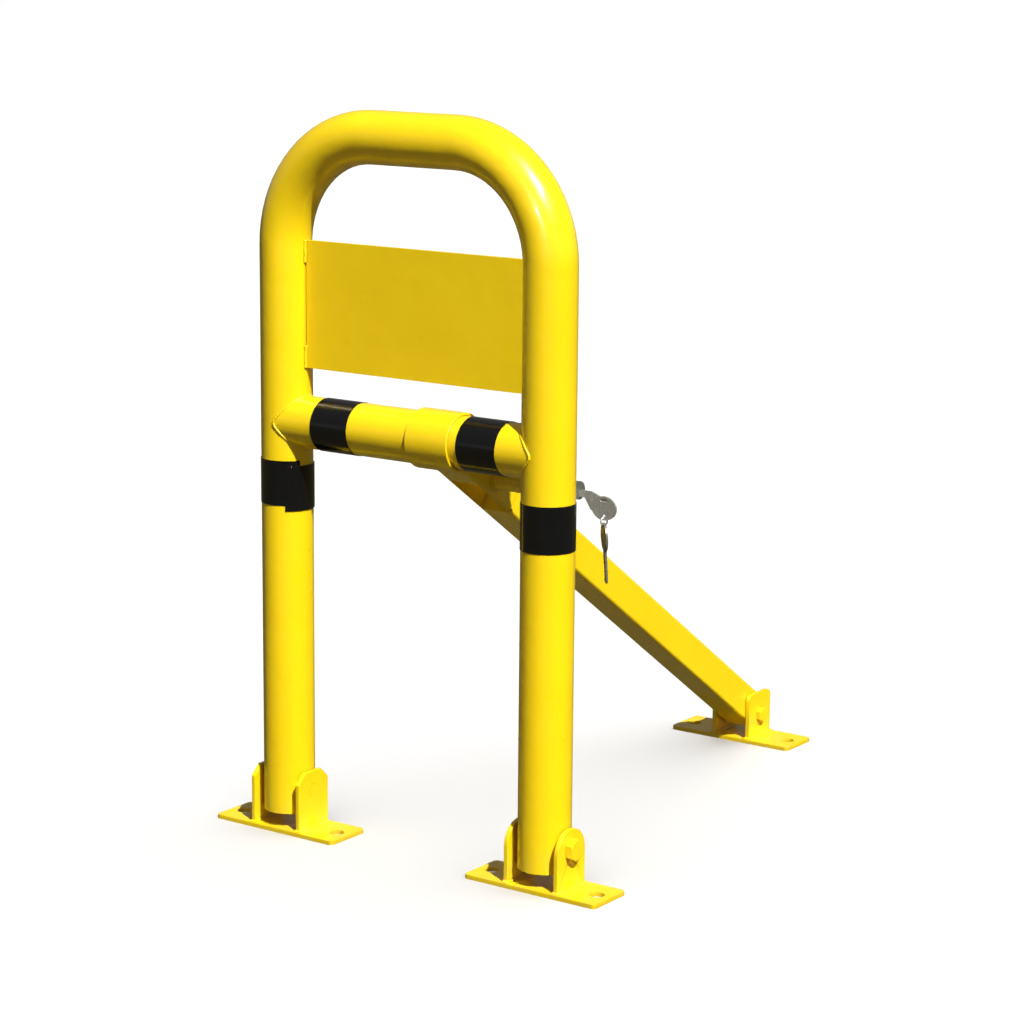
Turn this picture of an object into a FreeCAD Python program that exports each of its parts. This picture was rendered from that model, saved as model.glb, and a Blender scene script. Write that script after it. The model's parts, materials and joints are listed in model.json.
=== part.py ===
import FreeCAD, Part
import Sketcher
import math
import os
import re

from FreeCAD import Placement, Rotation, Vector

# Folding parking lock: a bent tube frame hinged on two ground brackets, and a square strut hinged on a
# third one behind it. The strut's tongue is held by a push lock in a head that hangs from the crossbar.
# Millimetres. +Z is up, +X is the lock's side and +Y points from the frame to the rear bracket.
# The origin is on the ground, half way between the front and the rear hinge line.

doc = FreeCAD.newDocument("parking_lock")
sheet = doc.addObject("Spreadsheet::Sheet", "Size")

DRIVING_SIZES = {
    # U-frame and crossbar, one tube size
    "tube_radius": 24.15,
    "tube_wall": 3,
    "leg_offset": 147.5,
    "frame_height": 680,
    "bend_radius": 101,
    "leg_bottom": 18.3,
    "bar_height": 392,
    # sign sheet
    "sign_low": 442.4,
    "sign_high": 559.8,
    "sign_thickness": 3,
    "sign_side_gap": 0.6,
    # ground brackets
    "reach": 529,
    "plate_length": 142,
    "plate_depth": 50,
    "plate_thickness": 4,
    "plate_corner": 4,
    "hole_spacing": 114,
    "hole_radius": 7,
    "ear_thickness": 4.2,
    "ear_width": 43,
    "ear_play": 0.85,
    "front_ear_top": 59,
    "front_pivot_height": 40.5,
    "rear_ear_top": 51,
    "rear_pivot_height": 27,
    "ear_chamfer": 10,
    "ear_round": 7,
    # hinge bolts and the bushes that turn on them
    "front_bolt_radius": 6,
    "front_head_flats": 18.5,
    "front_head_height": 6.8,
    "rear_bolt_radius": 4,
    "rear_head_flats": 13,
    "rear_head_height": 5.3,
    "hinge_play": 0.06,
    "bush_wall": 2.5,
    "leg_bush_half": 22.4,
    # strut
    "strut_side": 35,
    "strut_wall": 2.5,
    "strut_corner": 3.5,
    "strut_x": 33,
    "strut_top": 390.5,
    "strut_root": 31.2,
    "strut_start": 112,
    "strut_end_gap": 8.5,
    "strut_tail": 20,
    "cap_thickness": 4,
    # head on the crossbar
    "sleeve_play": 0.3,
    "sleeve_wall": 2.75,
    "sleeve_length": 46,
    "head_start": 12,
    "head_end": 106,
    "head_open_from": 46,
    # tongue
    "tongue_thickness": 8,
    "tongue_offset": 9,
    "tongue_half_height": 10,
    "tongue_hole_radius": 5.3,
    # lock
    "lock_along": 71.3,
    "housing_radius": 10,
    "housing_end": 131,
    "barrel_radius": 8.3,
    "barrel_play": 0.08,
    "barrel_back": 84,
    "barrel_face": 140.5,
    "lock_stroke": 12,
    "lock_bolt_radius": 5,
    "lock_bolt_nose": 47,
    "lock_bolt_seat": 12,
    "plug_radius": 4.8,
    "plug_play": 0.06,
    "plug_drop": 2.4,
    "plug_back": 104,
    "guide_screw_x": 118,
    "guide_screw_radius": 2,
    "guide_slot_floor": 6.4,
    "plug_pin_x": 108,
    "plug_pin_radius": 0.9,
    "plug_pin_half": 7.7,
    "plug_pin_rise": 4.9,
    "plug_groove_half": 1.2,
    "plug_groove_floor": 3.8,
    "seat_gap": 0.1,
    "seat_thickness": 2,
    # return spring
    "spring_wire": 1.2,
    "spring_radius": 6.6,
    "spring_turns": 6,
    # keys
    "key_thickness": 2,
    "key_blade_length": 19.2,
    "key_blade_height": 6.4,
    "key_stand_out": 3.5,
    "key_notch_start": 3.4,
    "key_notch_pitch": 3.3,
    "key_notch_half": 1.3,
    "key_recess_depth": 0.5,
    "key_recess_radius": 1.3,
    "key_recess_reach": 2.9,
    "key_recess_rise": 7,
    "key_bow_width": 25.8,
    "key_bow_height": 21.5,
    "key_bow_reach": 22.7,
    "key_bow_drop": 10.5,
    "key_hole_radius": 1.9,
    "key_hole_inset": 3.4,
    "ring_radius": 3.6,
    "ring_wire": 0.7,
    "ring_play": 0.25,
    # vinyl tape
    "tape_thickness": 0.5,
    "tape_width": 42,
    "tape_left_low": 309.8,
    "tape_right_low": 308,
    "tape_slip": 5,
    "tape_left_inner": 58.5,
    "tape_right_inner": 64.5,
    # weld beads
    "weld_size": 2.4,
    "saddle_size": 1.8,
    "stitch_radius": 2.6,
    "tongue_bead_radius": 1.6,
    "stitch_length": 21,
}

DERIVED_SIZES = {
    "front_y": "-reach / 2",
    "rear_y": "reach / 2",
    "arch_height": "frame_height - tube_radius",
    "leg_straight_top": "arch_height - bend_radius",
    "strut_angle": "atan((strut_top - strut_root) / reach) / 1deg",
    "strut_length": "reach / cos(strut_angle * 1deg)",
    "front_bush_radius": "front_bolt_radius + hinge_play + bush_wall",
    "rear_bush_radius": "rear_bolt_radius + hinge_play + bush_wall",
    "cap_start": "strut_start - cap_thickness",
    "bolt_shoulder": "lock_bolt_nose + 1",
    "bolt_end": "barrel_back + lock_bolt_seat",
    "lock_y": "front_y + lock_along * cos(strut_angle * 1deg)",
    "lock_z": "strut_top - lock_along * sin(strut_angle * 1deg)",
    "plug_z": "lock_z - plug_drop",
    "sleeve_bore": "tube_radius + sleeve_play",
    "sleeve_radius": "sleeve_bore + sleeve_wall",
    "strut_half": "strut_side / 2",
    "strut_bore_half": "strut_half - strut_wall",
    "strut_right": "strut_x + strut_half",
    "front_ear_inside": "tube_radius + ear_play",
    "rear_ear_inside": "strut_half + ear_play",
    "key_bow_x": "barrel_face + key_stand_out + key_bow_reach",
    "key_bow_z": "plug_z - key_bow_drop",
    "seat_start": "strut_right + seat_gap",
    "seat_end": "seat_start + seat_thickness",
    "key_low_hole_z": "key_bow_z - key_bow_height / 2 + key_hole_inset",
    "ring_top_z": "key_low_hole_z - key_hole_radius + ring_wire + ring_play",
    "spare_hole_z": "ring_top_z - 2 * ring_radius + ring_wire - key_hole_radius + ring_play",
}

# Degrees round the left leg, from +X towards +Y, where each turn of tape starts and how far it goes.
TAPE_UPPER_START = 110
TAPE_UPPER_SWEEP = 228
TAPE_LOWER_START = -55
TAPE_LOWER_SWEEP = 205

# Degrees that the ring and the spare key are turned about the vertical, and the spare key tipped aside.
RING_TURN = -18
SPARE_KEY_TURN = 137
SPARE_KEY_TIP = -4

# A hexagon head's chamfer: its flat circle as a share of the flats, and the cone's run over its rise.
HEAD_FLAT_SHARE = 0.475
HEAD_CONE_RUN = 1.73

# A key's outline: the slant of its tip as a share of half the blade, and where its collar and throat
# stand as shares of the way to the bow's centre.
KEY_TIP_SHARE = 0.75
KEY_COLLAR_SHARE = 0.1
KEY_THROAT_SHARE = 0.4
KEY_NOTCHES = 4
KEY_NOTCH_DEPTHS = (0.45, 0.65)

# Rough first positions for sketch lines and circles; the constraints move them to their places.
ROUGH_HALF = 9
ROUGH_HEIGHT = 20
ROUGH_RADIUS = 5

X_AXIS = Vector(1, 0, 0)
Y_AXIS = Vector(0, 1, 0)
Z_AXIS = Vector(0, 0, 1)

ALONG_X = Rotation(Y_AXIS, 90)
ALONG_Y = Rotation(X_AXIS, -90)
UPRIGHT = Rotation()


def fill_sheet():
    row = 1
    for alias, value in list(DRIVING_SIZES.items()) + list(DERIVED_SIZES.items()):
        cell = "B%d" % row
        sheet.set("A%d" % row, alias)
        sheet.set(cell, str(value) if alias in DRIVING_SIZES else "=" + value)
        sheet.setAlias(cell, alias)
        row += 1
    doc.recompute()


def size(alias):
    return float(sheet.get(alias))


def expression(text):
    """Name the sheet in front of each alias, so 'reach / 2' becomes 'Size.reach / 2'."""
    known = list(DRIVING_SIZES) + list(DERIVED_SIZES)
    return re.sub(r"[a-z_0-9]*[a-z][a-z_0-9]*",
                  lambda word: "Size." + word.group() if word.group() in known else word.group(), text)


def bind(thing, **properties):
    """Bind properties to sheet expressions; two underscores stand for a dot in a property path."""
    for path, text in properties.items():
        thing.setExpression(path.replace("__", "."), expression(text))
    return thing


def put(thing, x="0", y="0", z="0", turn=None):
    """Place a thing at three sheet expressions, turned by a fixed rotation."""
    if turn is not None:
        thing.Placement = Placement(Vector(0, 0, 0), turn)
    bind(thing, Placement__Base__x=x, Placement__Base__y=y, Placement__Base__z=z)
    return thing


def cylinder(name, radius, height, x="0", y="0", z="0", turn=UPRIGHT):
    rod = doc.addObject("Part::Cylinder", name)
    bind(rod, Radius=radius, Height=height)
    return put(rod, x, y, z, turn)


def box(name, length, width, height, x, y, z):
    """A box from its low corner at x, y, z."""
    block = doc.addObject("Part::Box", name)
    bind(block, Length=length, Width=width, Height=height)
    return put(block, x, y, z)


def cut(name, base, tool):
    result = doc.addObject("Part::Cut", name)
    result.Base = base
    result.Tool = tool
    return result


def fuse(name, shapes):
    result = doc.addObject("Part::MultiFuse", name)
    result.Shapes = shapes
    return result


def common(name, shapes):
    result = doc.addObject("Part::MultiCommon", name)
    result.Shapes = shapes
    return result


def wrap(name, shape):
    """A compound round one shape, so that it can be placed as a whole."""
    group = doc.addObject("Part::Compound", name)
    group.Links = [shape]
    return group


def lay_on_strut_line(thing):
    """Place a thing made in strut coordinates: Y runs down the strut from the frame plane, Z is its back."""
    thing.Placement = Placement(Vector(0, 0, 0), Rotation(X_AXIS, -1))
    bind(thing, Placement__Base__y="front_y", Placement__Base__z="strut_top")
    bind(thing, Placement__Rotation__Angle="0 - strut_angle")
    return thing


def origin_plane(body, role):
    return next(feature for feature in body.Origin.OriginFeatures if feature.Role == role)


def sketch_on(body, name, role):
    sketch = body.newObject("Sketcher::SketchObject", name)
    sketch.AttachmentSupport = (origin_plane(body, role), [""])
    sketch.MapMode = "FlatFace"
    return sketch


def bind_constraint(sketch, constraint, text):
    """Add a size constraint whose value is a sheet expression."""
    index = sketch.addConstraint(constraint)
    sketch.setExpression("Constraints[%d]" % index, expression(text))


def draw_rectangle(sketch, width, height, low=None):
    """A rectangle centred on the V axis; it starts at low, or is centred on the origin without it."""
    corners = [Vector(-ROUGH_HALF, 1, 0), Vector(ROUGH_HALF, 1, 0), Vector(ROUGH_HALF, ROUGH_HEIGHT, 0),
               Vector(-ROUGH_HALF, ROUGH_HEIGHT, 0)]
    for index in range(4):
        sketch.addGeometry(Part.LineSegment(corners[index], corners[(index + 1) % 4]))
    for index in range(4):
        sketch.addConstraint(Sketcher.Constraint("Coincident", index, 2, (index + 1) % 4, 1))
    for index, direction in ((1, "Vertical"), (2, "Horizontal"), (3, "Vertical")):
        sketch.addConstraint(Sketcher.Constraint(direction, index))
    if low is None:
        sketch.addConstraint(Sketcher.Constraint("Horizontal", 0))
        sketch.addConstraint(Sketcher.Constraint("Symmetric", 0, 1, 2, 1, -1, 1))
    else:
        sketch.addConstraint(Sketcher.Constraint("Symmetric", 0, 1, 0, 2, -2))
        bind_constraint(sketch, Sketcher.Constraint("DistanceY", -1, 1, 0, 1, 1), low)
    bind_constraint(sketch, Sketcher.Constraint("DistanceX", 0, 1, 0, 2, 2 * ROUGH_HALF), width)
    bind_constraint(sketch, Sketcher.Constraint("DistanceY", 1, 1, 1, 2, ROUGH_HEIGHT), height)


def pad(body, sketch, length, backwards=False):
    solid = body.newObject("PartDesign::Pad", sketch.Name + "_pad")
    solid.Profile = sketch
    solid.Reversed = backwards
    bind(solid, Length=length)
    doc.recompute()
    return solid


def pocket_through(body, sketch):
    """A pocket through everything, turned the other way if the first way removes nothing."""
    before = body.Shape.Volume
    hole = body.newObject("PartDesign::Pocket", sketch.Name + "_pocket")
    hole.Profile = sketch
    hole.Type = "ThroughAll"
    doc.recompute()
    if hole.Shape.isNull() or before - hole.Shape.Volume < 1.0:
        hole.Reversed = True
        doc.recompute()
    return hole


def edges_along(shape, axis, keep):
    """Names of the straight edges along an axis whose middle passes the keep test."""
    names = []
    for number, edge in enumerate(shape.Edges, 1):
        if edge.Curve.TypeId != "Part::GeomLine":
            continue
        run = edge.Vertexes[-1].Point - edge.Vertexes[0].Point
        if abs(run.normalize().dot(axis)) > 0.999 and keep(edge.CenterOfMass):
            names.append("Edge%d" % number)
    return names


def dress(body, kind, size_text, axis, keep):
    """Fillet or chamfer the chosen edges of a body's last feature."""
    last = body.Tip
    trim = body.newObject("PartDesign::" + kind, body.Name + "_" + kind.lower())
    trim.Base = (last, edges_along(last.Shape, axis, keep))
    size_property = "Radius" if kind == "Fillet" else "Size"
    bind(trim, **{size_property: size_text})
    doc.recompute()
    return trim


# ---------------------------------------------------------------- U-frame and what is fixed to it

def bent_tube(name, radius, bottom):
    """The solid of the U: two legs, two quarter bends and the top run."""
    pieces = []
    for side, sign in (("left", "0 - "), ("right", "0 + ")):
        leg = cylinder(name + "_leg_" + side, radius, "leg_straight_top - " + bottom,
                       sign + "leg_offset", "front_y", bottom)
        bend = doc.addObject("Part::Torus", name + "_bend_" + side)
        bind(bend, Radius1="bend_radius", Radius2=radius)
        bend.Angle3 = 90
        quarter = Rotation(X_AXIS, 90)
        if side == "left":
            quarter = quarter * Rotation(Z_AXIS, 90)
        put(bend, sign + "leg_offset " + ("+" if side == "left" else "-") + " bend_radius", "front_y",
            "leg_straight_top", quarter)
        pieces += [leg, bend]
    pieces.append(cylinder(name + "_top", radius, "2 * leg_offset - 2 * bend_radius",
                           "bend_radius - leg_offset", "front_y", "arch_height", ALONG_X))
    return fuse(name, pieces)


def leg_column(side):
    """A solid column where a leg stands, for coping what meets the leg."""
    sign = "0 - " if side == "left" else "0 + "
    return cylinder("column_" + side, "tube_radius", "frame_height", sign + "leg_offset", "front_y")


def make_u_frame():
    hollow = cut("u_hollow", bent_tube("u_outer", "tube_radius", "leg_bottom"),
                 bent_tube("u_inner", "tube_radius - tube_wall", "0"))
    pivot_hole = cylinder("u_pivot_hole", "front_bush_radius", "2 * leg_offset + 4 * tube_radius",
                          "0 - leg_offset - 2 * tube_radius", "front_y", "front_pivot_height", ALONG_X)
    return cut("u_frame", hollow, pivot_hole)


def make_crossbar():
    rod = cylinder("bar_rod", "tube_radius", "2 * leg_offset", "0 - leg_offset", "front_y", "bar_height",
                   ALONG_X)
    bore = cylinder("bar_bore", "tube_radius - tube_wall", "2 * leg_offset", "0 - leg_offset", "front_y",
                    "bar_height", ALONG_X)
    coped = cut("bar_coped", rod, fuse("bar_columns", [leg_column("left"), leg_column("right")]))
    return cut("crossbar", coped, bore)


def make_crossbar_welds():
    """A saddle bead where each end of the crossbar meets its leg."""
    beads = []
    for side, sign in (("left", "0 - "), ("right", "0 + ")):
        around_bar = cylinder("bead_bar_" + side, "tube_radius + saddle_size", "2 * tube_radius",
                              sign + "leg_offset - tube_radius", "front_y", "bar_height", ALONG_X)
        around_leg = cylinder("bead_leg_" + side, "tube_radius + saddle_size", "4 * tube_radius",
                              sign + "leg_offset", "front_y", "bar_height - 2 * tube_radius")
        saddle = common("bead_saddle_" + side, [around_bar, around_leg])
        bar = cylinder("bead_bar_core_" + side, "tube_radius", "4 * tube_radius",
                       sign + "leg_offset - 2 * tube_radius", "front_y", "bar_height", ALONG_X)
        outside_bar = cut("bead_outside_bar_" + side, saddle, bar)
        outer_half = box("bead_outer_half_" + side, "tube_radius * 2", "tube_radius * 4", "tube_radius * 4",
                         sign + ("leg_offset - tube_radius * 2" if side == "left" else "leg_offset"),
                         "front_y - tube_radius * 2", "bar_height - tube_radius * 2")
        inner = cut("bead_inner_" + side, outside_bar, outer_half)
        beads.append(cut("bead_" + side, inner, leg_column(side)))
    return fuse("crossbar_welds", beads)


def make_sign_plate():
    """A plain sheet between the legs."""
    body = doc.addObject("PartDesign::Body", "sign_plate")
    sketch = sketch_on(body, "sign_outline", "XZ_Plane")
    draw_rectangle(sketch, "2 * leg_offset - 2 * tube_radius - 2 * sign_side_gap", "sign_high - sign_low",
                   "sign_low")
    pad(body, sketch, "sign_thickness")
    return put(body, y="front_y + sign_thickness / 2")


def make_sign_welds():
    """Short stitches at the sheet's four corners, in front and behind."""
    beads = []
    for side, sign in (("left", "0 - "), ("right", "0 + ")):
        for face, push in (("front", " - "), ("back", " + ")):
            for level, start in (("low", "sign_low"), ("high", "sign_high - stitch_length")):
                name = "stitch_%s_%s_%s" % (side, face, level)
                inward = " + tube_radius" if side == "left" else " - tube_radius"
                beads.append(cylinder(name, "stitch_radius", "stitch_length", sign + "leg_offset" + inward,
                                      "front_y" + push + "sign_thickness / 2", start))
    sheet_block = box("stitch_sheet", "2 * leg_offset - 2 * tube_radius - 2 * sign_side_gap",
                      "sign_thickness", "frame_height", "tube_radius + sign_side_gap - leg_offset",
                      "front_y - sign_thickness / 2", "0")
    frame_tube = bent_tube("stitch_frame", "tube_radius", "leg_bottom")
    keep_out = fuse("stitch_keep_out", [sheet_block, frame_tube])
    return cut("sign_welds", fuse("stitches", beads), keep_out)


def make_leg_bush(side):
    sign = "0 - " if side == "left" else "0 + "
    start = sign + "leg_offset - leg_bush_half"
    outer = cylinder("bush_outer_" + side, "front_bush_radius", "2 * leg_bush_half", start, "front_y",
                     "front_pivot_height", ALONG_X)
    bore = cylinder("bush_bore_" + side, "front_bolt_radius + hinge_play", "2 * leg_bush_half", start,
                    "front_y", "front_pivot_height", ALONG_X)
    return cut("leg_bush_" + side, outer, bore)


def make_leg_tape_right():
    band = cylinder("tape_leg_outer", "tube_radius + tape_thickness", "tape_width", "leg_offset", "front_y",
                    "tape_right_low")
    return cut("tape_leg_right", band, leg_column("right"))


def make_leg_tape_left():
    """Two turns of tape that did not line up: the lower turn lies over the end of the upper one."""
    upper = cylinder("tape_upper_turn", "tube_radius + tape_thickness", "tape_width", "0 - leg_offset",
                     "front_y", "tape_left_low + tape_slip", Rotation(Z_AXIS, TAPE_UPPER_START))
    upper.Angle = TAPE_UPPER_SWEEP
    lower = cylinder("tape_lower_turn", "tube_radius + 2 * tape_thickness", "tape_width", "0 - leg_offset",
                     "front_y", "tape_left_low", Rotation(Z_AXIS, TAPE_LOWER_START))
    lower.Angle = TAPE_LOWER_SWEEP
    return cut("tape_leg_left", fuse("tape_turns", [upper, lower]), leg_column("left"))


def make_bar_tape(side, start):
    band = cylinder("tape_bar_outer_" + side, "tube_radius + tape_thickness", "tape_width", start, "front_y",
                    "bar_height", ALONG_X)
    core = cylinder("tape_bar_core_" + side, "tube_radius", "tape_width", start, "front_y", "bar_height",
                    ALONG_X)
    return cut("tape_bar_" + side, band, core)


# ---------------------------------------------------------------- ground brackets

def make_ground_plate(name, centre_x, centre_y):
    body = doc.addObject("PartDesign::Body", name)
    outline = sketch_on(body, name + "_outline", "XY_Plane")
    draw_rectangle(outline, "plate_length", "plate_depth")
    pad(body, outline, "plate_thickness")
    dress(body, "Fillet", "plate_corner", Z_AXIS, lambda middle: True)
    holes = sketch_on(body, name + "_holes", "XY_Plane")
    for side in (-1, 1):
        holes.addGeometry(Part.Circle(Vector(side * ROUGH_HEIGHT, 0, 0), Z_AXIS, ROUGH_RADIUS))
    holes.addConstraint(Sketcher.Constraint("PointOnObject", 0, 3, -1))
    holes.addConstraint(Sketcher.Constraint("Symmetric", 0, 3, 1, 3, -1, 1))
    holes.addConstraint(Sketcher.Constraint("Equal", 0, 1))
    bind_constraint(holes, Sketcher.Constraint("DistanceX", 0, 3, 1, 3, 2 * ROUGH_HEIGHT), "hole_spacing")
    bind_constraint(holes, Sketcher.Constraint("Radius", 0, ROUGH_RADIUS), "hole_radius")
    pocket_through(body, holes)
    return put(body, centre_x, centre_y)


EAR_STYLES = {
    "chamfered": ("Chamfer", "ear_chamfer"),
    "round": ("Fillet", "ear_width / 2 - 0.1"),
    "rounded": ("Fillet", "ear_round"),
}


def make_ear(name, style, start_x, centre_y, top, pivot_height, bolt_radius):
    """An upright ear with a bolt hole and chamfered, rounded or fully round top corners."""
    body = doc.addObject("PartDesign::Body", name)
    outline = sketch_on(body, name + "_outline", "YZ_Plane")
    draw_rectangle(outline, "ear_width", top + " - plate_thickness", "plate_thickness")
    pad(body, outline, "ear_thickness")
    kind, corner_size = EAR_STYLES[style]
    dress(body, kind, corner_size, X_AXIS, lambda middle: middle.z > size("plate_thickness") + 1)
    hole = sketch_on(body, name + "_hole", "YZ_Plane")
    hole.addGeometry(Part.Circle(Vector(0, ROUGH_HEIGHT, 0), Z_AXIS, ROUGH_RADIUS))
    hole.addConstraint(Sketcher.Constraint("PointOnObject", 0, 3, -2))
    bind_constraint(hole, Sketcher.Constraint("DistanceY", -1, 1, 0, 3, ROUGH_HEIGHT), pivot_height)
    bind_constraint(hole, Sketcher.Constraint("Radius", 0, ROUGH_RADIUS), bolt_radius + " + hinge_play")
    pocket_through(body, hole)
    return put(body, start_x, centre_y)


def make_ear_welds(name, left_x, right_x, centre_y):
    """A sloping bead round the foot of both ears of a bracket."""
    beads = []
    for side, start in (("left", left_x), ("right", right_x)):
        bead = doc.addObject("Part::Wedge", name + "_wedge_" + side)
        bind(bead, Xmin="0 - weld_size", Xmax="ear_thickness + weld_size", X2min="0", X2max="ear_thickness",
             Zmin="0 - weld_size", Zmax="ear_width + weld_size", Z2min="0", Z2max="ear_width",
             Ymax="weld_size")
        upright = Rotation(X_AXIS, Z_AXIS, -Y_AXIS, "ZXY")
        put(bead, start, centre_y + " + ear_width / 2", "plate_thickness", upright)
        ear = box(name + "_ear_" + side, "ear_thickness", "ear_width", "2 * weld_size", start,
                  centre_y + " - ear_width / 2", "plate_thickness")
        beads.append(cut(name + "_bead_" + side, bead, ear))
    return fuse(name, beads)


def hex_bolt(name, radius, flats, head_height, start_x, length, y, z, head_side):
    """A bolt along X with a chamfered hexagon head on its left or right end."""
    shank = cylinder(name + "_shank", radius, length, start_x, y, z, ALONG_X)
    prism = doc.addObject("Part::Prism", name + "_hexagon")
    prism.Polygon = 6
    bind(prism, Circumradius=flats + " / sqrt(3)", Height=head_height)
    cone = doc.addObject("Part::Cone", name + "_head_cone")
    flat_circle = "%s * %s" % (flats, HEAD_FLAT_SHARE)
    bind(cone, Radius1="%s + %s * %s" % (flat_circle, head_height, HEAD_CONE_RUN), Radius2=flat_circle,
         Height=head_height)
    if head_side == "right":
        place = start_x + " + " + length
        turn = ALONG_X
    else:
        place = start_x
        turn = Rotation(Y_AXIS, -90)
    put(prism, place, y, z, turn)
    put(cone, place, y, z, turn)
    return fuse(name, [shank, common(name + "_head", [prism, cone])])


def make_front_bolt(side):
    """Screwed through the outer ear and the leg's bush into the inner ear, where it ends flush."""
    sign = "0 - " if side == "left" else "0 + "
    return hex_bolt("hinge_bolt_" + side, "front_bolt_radius", "front_head_flats", "front_head_height",
                    sign + "leg_offset - front_ear_inside - ear_thickness",
                    "2 * front_ear_inside + 2 * ear_thickness", "front_y", "front_pivot_height", side)


def make_rear_bolt():
    return hex_bolt("hinge_bolt_rear", "rear_bolt_radius", "rear_head_flats", "rear_head_height",
                    "strut_x - rear_ear_inside - ear_thickness",
                    "2 * rear_ear_inside + 2 * ear_thickness", "rear_y", "rear_pivot_height", "right")


# ---------------------------------------------------------------- strut

def square_bar(name, start, length, hollow):
    """A square bar or tube with rounded long edges, laid on the strut line from start."""
    body = doc.addObject("PartDesign::Body", name)
    outline = sketch_on(body, name + "_outline", "XZ_Plane")
    draw_rectangle(outline, "strut_side", "strut_side")
    pad(body, outline, length, backwards=True)
    dress(body, "Fillet", "strut_corner", Y_AXIS, lambda middle: True)
    if hollow:
        bore = sketch_on(body, name + "_bore", "XZ_Plane")
        draw_rectangle(bore, "2 * strut_bore_half", "2 * strut_bore_half")
        pocket_through(body, bore)
    lay_on_strut_line(body)
    bind(body, Placement__Base__x="strut_x",
         Placement__Base__y="front_y + (" + start + ") * cos(strut_angle * 1deg)",
         Placement__Base__z="strut_top - (" + start + ") * sin(strut_angle * 1deg)")
    return body


def make_strut_tube():
    """The tube's foot is trimmed level above the plate and plumb inside the ears."""
    blank = square_bar("strut_blank", "strut_start", "strut_length - strut_start + strut_side", True)
    room = box("strut_room", "2 * strut_side", "reach + strut_tail", "frame_height", "strut_x - strut_side",
               "front_y", "plate_thickness + strut_end_gap")
    trimmed = common("strut_trimmed", [blank, room])
    hole = cylinder("strut_pivot_hole", "rear_bush_radius", "2 * strut_side", "strut_x - strut_side",
                    "rear_y", "rear_pivot_height", ALONG_X)
    return cut("strut_tube", trimmed, hole)


def make_strut_bush():
    outer = cylinder("strut_bush_outer", "rear_bush_radius", "strut_side", "strut_x - strut_half", "rear_y",
                     "rear_pivot_height", ALONG_X)
    bore = cylinder("strut_bush_bore", "rear_bolt_radius + hinge_play", "strut_side", "strut_x - strut_half",
                    "rear_y", "rear_pivot_height", ALONG_X)
    return cut("strut_bush", outer, bore)


def make_strut_cap():
    return square_bar("strut_cap", "cap_start", "cap_thickness", False)


def make_strut_tongue():
    """A flat tongue with a round end and a hole for the locking bolt."""
    left = "strut_x + tongue_offset - tongue_thickness / 2"
    blade = box("tongue_blade", "tongue_thickness", "cap_start - lock_along", "2 * tongue_half_height", left,
                "lock_along", "0 - tongue_half_height")
    tip = cylinder("tongue_tip", "tongue_half_height", "tongue_thickness", left, "lock_along", "0", ALONG_X)
    hole = cylinder("tongue_hole", "tongue_hole_radius", "tongue_thickness", left, "lock_along", "0",
                    ALONG_X)
    return lay_on_strut_line(cut("strut_tongue", fuse("tongue_outline", [blade, tip]), hole))


def make_tongue_weld():
    """Beads along both flat sides of the tongue at the cap."""
    beads = []
    for side, place in (("left", "0 - tongue_thickness / 2"), ("right", "0 + tongue_thickness / 2")):
        beads.append(cylinder("tongue_bead_" + side, "tongue_bead_radius", "2 * tongue_half_height - 2",
                              "strut_x + tongue_offset + " + place, "cap_start",
                              "1 - tongue_half_height"))
    left = "strut_x + tongue_offset - tongue_thickness / 2"
    blade = box("tongue_bead_blade", "tongue_thickness", "strut_side", "strut_side", left,
                "cap_start - strut_side", "0 - strut_half")
    cap = box("tongue_bead_cap", "strut_side", "strut_side", "strut_side", "strut_x - strut_half",
              "cap_start", "0 - strut_half")
    keep_out = fuse("tongue_bead_keep_out", [blade, cap])
    return lay_on_strut_line(cut("tongue_weld", fuse("tongue_beads", beads), keep_out))


# ---------------------------------------------------------------- head on the crossbar

def sleeve_rod(name, radius):
    return cylinder(name, radius, "sleeve_length", "strut_x - sleeve_length / 2", "front_y", "bar_height",
                    ALONG_X)


def make_sleeve():
    outer = sleeve_rod("sleeve_outer", "sleeve_radius")
    return cut("sleeve", outer, sleeve_rod("sleeve_bore_rod", "sleeve_bore"))


def make_strut_head():
    """A short square tube coped to the sleeve; beyond the coped end only its two side walls run on."""
    blank = square_bar("head_blank", "head_start", "head_end - head_start", True)
    coped = cut("head_coped", blank, sleeve_rod("head_cope", "sleeve_radius"))
    opening = box("head_opening", "2 * strut_bore_half", "head_end - head_open_from + 1", "2 * strut_side",
                  "strut_x - strut_bore_half", "head_open_from", "0 - strut_side")
    open_end = cut("head_open", coped, lay_on_strut_line(wrap("head_opening_placed", opening)))
    hole = cylinder("head_bolt_hole", "lock_bolt_radius + barrel_play", "strut_half", "strut_x", "lock_y",
                    "lock_z", ALONG_X)
    return cut("strut_head", open_end, hole)


def make_head_weld():
    """The bead where the head's tube meets the sleeve."""
    block = box("head_bead_block", "strut_side + 2 * weld_size", "head_open_from",
                "strut_side + 2 * weld_size", "strut_x - strut_half - weld_size", "head_start",
                "0 - strut_half - weld_size")
    core = box("head_bead_core", "strut_side", "head_end", "strut_side", "strut_x - strut_half",
               "0", "0 - strut_half")
    frame_bead = lay_on_strut_line(cut("head_bead_frame", block, core))
    skin = sleeve_rod("head_bead_skin", "sleeve_radius + weld_size")
    near_sleeve = common("head_bead_near", [frame_bead, skin])
    return cut("head_weld", near_sleeve, sleeve_rod("head_bead_sleeve", "sleeve_radius"))


def lock_rod(name, radius, start, end, y="lock_y", z="lock_z"):
    return cylinder(name, radius, "(%s) - (%s)" % (end, start), start, y, z, ALONG_X)


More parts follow.
